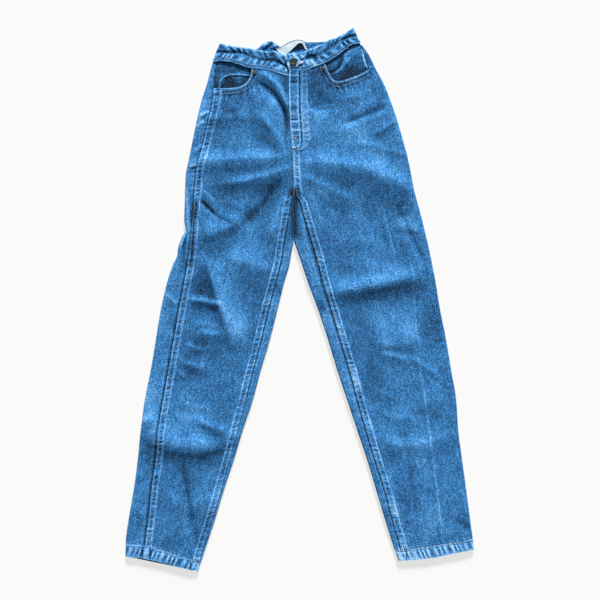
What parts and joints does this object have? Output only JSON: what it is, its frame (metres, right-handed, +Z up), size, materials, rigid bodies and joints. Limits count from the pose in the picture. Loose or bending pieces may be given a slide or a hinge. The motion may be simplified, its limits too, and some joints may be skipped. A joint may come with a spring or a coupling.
{
  "type": "jeans",
  "caption": "High-waisted tapered denim trousers laid flat with the front up, with scooped front pockets, fly, waistband, button, felled seams, turned hems and plain back pockets.",
  "frame": {"origin": "middle of the footprint, on the surface that the jeans lie on", "axes": "+X towards the wearer's left side, +Y up the legs towards the waist, +Z up from the surface"},
  "size_m": [0.696, 1.086, 0.0177],
  "materials": {
    "denim": "mid-blue stonewashed denim, matt, with a streaky twill grain",
    "label": "pale cream woven label, bare",
    "button": "dark antiqued metal",
    "rivet": "copper-brown metal"
  },
  "bodies": {
    "root": {"front_right": "denim", "front_left": "denim", "back_right": "denim", "back_left": "denim", "yoke_right": "denim", "yoke_left": "denim", "facing_right": "denim", "facing_left": "denim", "waistband_front_right": "denim", "waistband_front_left": "denim", "waistband_back": "denim", "fly": "denim", "front_rise_seam": "denim", "outseam_right": "denim", "inseam_right": "denim", "inseam_left": "denim", "hem_right": "denim", "hem_left": "denim", "back_pocket_right": "denim", "back_pocket_left": "denim", "waist_label": "label", "waist_button": "button", "rivet_right": "rivet", "rivet_left": "rivet"}
  },
  "joints": []
}
